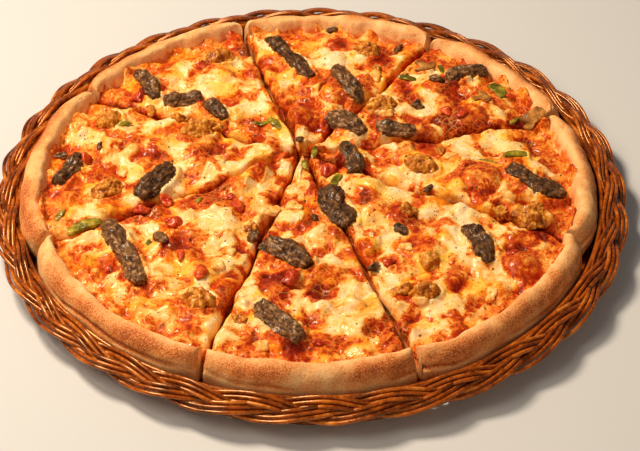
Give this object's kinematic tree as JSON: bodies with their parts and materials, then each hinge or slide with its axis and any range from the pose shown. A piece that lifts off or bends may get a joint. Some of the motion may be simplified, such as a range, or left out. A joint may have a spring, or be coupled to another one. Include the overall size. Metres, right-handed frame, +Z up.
{
  "type": "deep dish pizza",
  "caption": "Thick-crust pizza cut in slices, with beef, chicken, peppers and mushrooms, lying in a round wicker tray with a braided rim.",
  "frame": {"origin": "on the surface that the tray stands on, under the middle of the tray", "axes": "+Z up; -Y is the front, which the picture was taken from; +X is to the right in the picture"},
  "size_m": [0.364, 0.3624, 0.0318],
  "materials": {
    "baked_dough": "matte golden-brown baked crust with a floury bloom and paler sides",
    "tomato_sauce": "wet, oily red tomato sauce",
    "melted_cheese": "glossy melted cheese, cream to amber with orange-red oily patches and dark specks",
    "grilled_beef": "dark brown grainy grilled meat with a greasy sheen",
    "seasoned_chicken": "golden-brown crumbly seasoned meat",
    "sweet_pepper": "soft cooked green pepper, wet",
    "mushroom": "cooked mushroom slice, satin",
    "wicker": "varnished orange-brown willow rods with bright highlights"
  },
  "bodies": {
    "root": {"dough_1": "baked_dough", "dough_2": "baked_dough", "dough_3": "baked_dough", "dough_4": "baked_dough", "dough_5": "baked_dough", "dough_6": "baked_dough", "dough_7": "baked_dough", "dough_8": "baked_dough", "sauce_1": "tomato_sauce", "sauce_2": "tomato_sauce", "sauce_3": "tomato_sauce", "sauce_4": "tomato_sauce", "sauce_5": "tomato_sauce", "sauce_6": "tomato_sauce", "sauce_7": "tomato_sauce", "sauce_8": "tomato_sauce", "cheese_1": "melted_cheese", "cheese_2": "melted_cheese", "cheese_3": "melted_cheese", "cheese_4": "melted_cheese", "cheese_5": "melted_cheese", "cheese_6": "melted_cheese", "cheese_7": "melted_cheese", "cheese_8": "melted_cheese", "beef_1": "grilled_beef", "beef_2": "grilled_beef", "beef_3": "grilled_beef", "beef_4": "grilled_beef", "beef_5": "grilled_beef", "beef_6": "grilled_beef", "beef_7": "grilled_beef", "beef_8": "grilled_beef", "beef_9": "grilled_beef", "beef_10": "grilled_beef", "beef_11": "grilled_beef", "beef_12": "grilled_beef", "beef_13": "grilled_beef", "beef_14": "grilled_beef", "beef_15": "grilled_beef", "beef_16": "grilled_beef", "beef_17": "grilled_beef", "chicken_1": "seasoned_chicken", "chicken_2": "seasoned_chicken", "chicken_3": "seasoned_chicken", "chicken_4": "seasoned_chicken", "chicken_5": "seasoned_chicken", "chicken_6": "seasoned_chicken", "chicken_7": "seasoned_chicken", "chicken_8": "seasoned_chicken", "chicken_9": "seasoned_chicken", "chicken_10": "seasoned_chicken", "pepper_1": "sweet_pepper", "pepper_2": "sweet_pepper", "pepper_3": "sweet_pepper", "pepper_4": "sweet_pepper", "mushroom_1": "mushroom", "mushroom_2": "mushroom", "mushroom_3": "mushroom", "tray_body": "wicker", "braided_rim": "wicker"}
  },
  "joints": []
}
